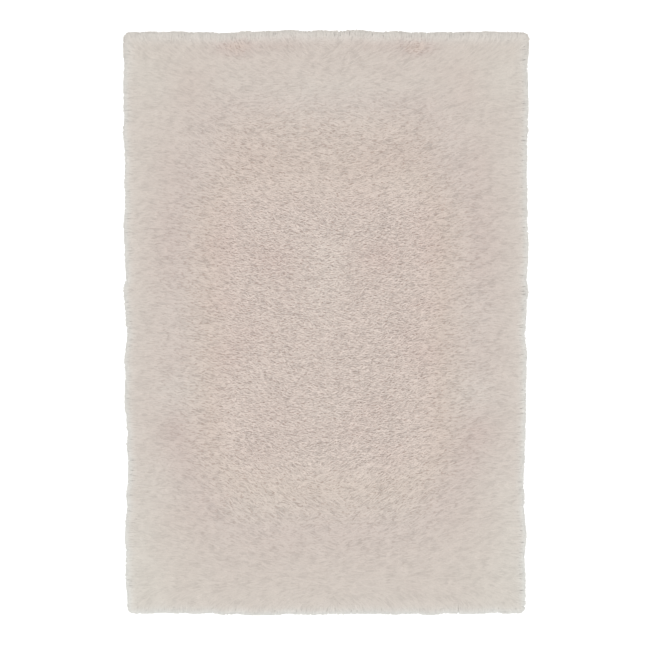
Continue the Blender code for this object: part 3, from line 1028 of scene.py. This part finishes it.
def rounded_grid(step, inset, radius):
    """A grid of points over the rug's shape, with rounded corners. Returns x and y as 2-D arrays."""
    half_x, half_y = GRID_HALF[0] - inset, GRID_HALF[1] - inset
    gx, gy = np.meshgrid(*(np.linspace(-1, 1, int(2 * half / step) + 1) for half in (half_x, half_y)))
    reach_x = side_reach(gx, gy * half_y) - inset
    reach_y = end_reach(gx * half_x, gy) - inset
    x, y = gx * reach_x, gy * reach_y
    a = np.clip(1 - (reach_x - np.abs(x)) / radius, 0, 1)
    b = np.clip(1 - (reach_y - np.abs(y)) / radius, 0, 1)
    x = x - np.sign(gx) * radius * a * (1 - np.sqrt(1 - b * b / 2))
    y = y - np.sign(gy) * radius * b * (1 - np.sqrt(1 - a * a / 2))
    return x, y


def closed_mat(name, x, y, top, bottom, material):
    """A closed mesh between a top and a bottom height over the same grid."""
    rows, columns = x.shape
    count = rows * columns
    points = np.concatenate([np.stack([x.ravel(), y.ravel(), z.ravel()], 1) for z in (top, bottom)])
    cell = np.arange(count).reshape(rows, columns)
    quads = np.stack([cell[:-1, :-1], cell[:-1, 1:], cell[1:, 1:], cell[1:, :-1]], -1).reshape(-1, 4)
    edge = np.concatenate([cell[0, :-1], cell[:-1, -1], cell[-1, :0:-1], cell[:0:-1, 0]])
    after = np.roll(edge, -1)
    walls = np.stack([edge, edge + count, after + count, after], 1)
    faces = np.concatenate([quads, quads[:, ::-1] + count, walls]).tolist()
    return new_piece(name, points, faces, [material])


# %% Lay the mat
MAT_STEP = 0.020
foot_x, foot_y = rounded_grid(MAT_STEP, MAT_INSET, CORNER_RADIUS)
foot_z = mat_height(foot_x, foot_y) + 0.0010 * soft_noise(foot_x, foot_y, 0.02, 12)
foot_under = 0.0008 + 0.0020 * smooth_step(0.012, 0.020, rim_distance(foot_x, foot_y))
pile_foot = closed_mat("pile_foot", foot_x, foot_y, foot_z, foot_under, foot_material)
print("pile foot", len(pile_foot.data.polygons), "faces")

# %% Paint the mat
# A deeper lock's end, 14 mm along its lean and 5 mm across, is one cell of the pattern.
DEEP_LOCK = (0.014, 0.005)
flat_x, flat_y = np.tile(foot_x.ravel(), 2), np.tile(foot_y.ravel(), 2)
# The mat takes the pile's painted values. Its crest values put it partly in the painted flank shade, and
# its shade values vary it at random.
for name, values in (
    ("comb", combed(flat_x, flat_y)), ("tone", pile_tone_and_shade(flat_x, flat_y)),
    ("shade", rng.uniform(-0.5, 0.3, flat_x.size)), ("along", np.full_like(flat_x, 0.08)),
    ("crest", rng.uniform(0.35, 0.6, flat_x.size)), ("rim", rim_paleness(flat_x, flat_y)),
):
    store(pile_foot.data, name, values)
wobble = 0.004 * soft_noise(flat_x, flat_y, 0.05, 16)
strand_map = np.stack([(flat_y + wobble) / DEEP_LOCK[1], flat_x / DEEP_LOCK[0]], 1)
strand_map = strand_map[read(pile_foot.data.loops, "vertex_index", 1, np.int32)]
strand = pile_foot.data.uv_layers.new(name="strand")
strand.data.foreach_set("uv", strand_map.astype(np.float32).ravel())

# %% [markdown]
# ## The backing
# The yarn is tufted through a woven polypropylene cloth, about 3 mm thick with the second layer
# that is bonded to it. It is hidden from above, and seen only when the rug is lifted, so it is
# one flat sheet with a weave: two sets of soft bands, multiplied. A real weave has threads every
# 1.5 mm or so; here each is drawn 4 mm wide, so that it shows.

# %% Weave the backing
# The wave pattern repeats every 2 pi / (20 x scale) metres, here every 4 mm.
WEAVE_SCALE = 78.0
BACKING_INSET = 0.024
BACKING_THICKNESS = 0.003


def make_woven_backing():
    """Matt beige cloth with threads both ways."""
    material, tree = new_material("woven_backing")
    place = add_node(tree, "ShaderNodeTexCoord")
    warp, weft = [add_node(tree, "ShaderNodeTexWave", bands_direction=way, Scale=WEAVE_SCALE,
                           Vector=place.outputs["Object"], Distortion=0.6, Detail=1.0) for way in "XY"]
    weave = add_node(
        tree, "ShaderNodeMath", operation="MULTIPLY", Value=warp, Value_001=weft.outputs["Fac"])
    colour = add_node(
        tree, "ShaderNodeMix", data_type="RGBA", Factor=weave, A=linear("#A89A86"), B=linear("#D6CBB8"))
    bump = add_node(tree, "ShaderNodeBump", Strength=0.6, Distance=0.001, Height=weave)
    cloth = add_node(tree, "ShaderNodeBsdfPrincipled", Base_Color=colour, Normal=bump, Roughness=0.8,
                     Specular_IOR_Level=0.3)
    add_node(tree, "ShaderNodeOutputMaterial", Surface=cloth)
    return material


back_x, back_y = rounded_grid(0.030, BACKING_INSET, 0.018)
backing = closed_mat("backing", back_x, back_y, np.full_like(back_x, BACKING_THICKNESS),
                     np.zeros_like(back_x), make_woven_backing())

# %% [markdown]
# ## Floor and light
# The floor is a plain white sheet, and the light comes from a broad soft lamp high above, with
# a pale room around it. Nothing casts a hard shadow, so the pile shows by its own small hollows.

# %% The floor
FLOOR_HALF = 20
FLOOR_Z = -0.0005

floor_mesh = bpy.data.meshes.new("floor")
corners = [(FLOOR_HALF * sx, FLOOR_HALF * sy, FLOOR_Z) for sx, sy in ((-1, -1), (1, -1), (1, 1), (-1, 1))]
floor_mesh.from_pydata(corners, [], [(0, 1, 2, 3)])
floor = bpy.data.objects.new("floor", floor_mesh)
scene.collection.objects.link(floor)
floor_material, floor_tree = new_material("white_floor")
paint = add_node(floor_tree, "ShaderNodeBsdfPrincipled", Base_Color=linear("#F4F4F4"), Roughness=0.9,
                 Specular_IOR_Level=0.1)
add_node(floor_tree, "ShaderNodeOutputMaterial", Surface=paint)
floor_mesh.materials.append(floor_material)
floor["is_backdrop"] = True

# %% The light
LAMP_HEIGHT = 12.0
lamp_data = bpy.data.lights.new("softbox", "AREA")
lamp_data.shape = "SQUARE"
lamp_data.size = 7.0
lamp_data.energy = 1860.0
lamp = bpy.data.objects.new("softbox", lamp_data)
lamp.location = (0.0, 0.0, LAMP_HEIGHT)
lamp.rotation_euler = (-lamp.location).to_track_quat("-Z", "Y").to_euler()
scene.collection.objects.link(lamp)
world = bpy.data.worlds.new("pale_room")
world.use_nodes = True
room = world.node_tree.nodes["Background"].inputs
room["Color"].default_value = linear("#FFFFFF")
room["Strength"].default_value = 0.55
scene.world = world
scene.view_settings.view_transform = "Standard"
print("lamp of", lamp_data.energy, "W at", LAMP_HEIGHT, "m")

# %% [markdown]
# ## Riding on the body
# The rug doesn't move, so every piece rides on its one body. The plain CAD solid stays, but
# hidden, and the pieces show in its place. The two single locks were only patterns, so they
# are removed.

# %% Ride on the body and hide the solid
pile_pieces = [pile_foot, rim_piece, *field_pieces]
for piece in (backing, *pile_pieces):
    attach(piece, "root")
    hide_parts("shag_rug")
for shape in (ruffled_lock, brushed_lock):
    bpy.data.objects.remove(shape)

# %% Measure the visual box
low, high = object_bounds()
print("visual box in mm", [round(1000 * side) for side in high - low])
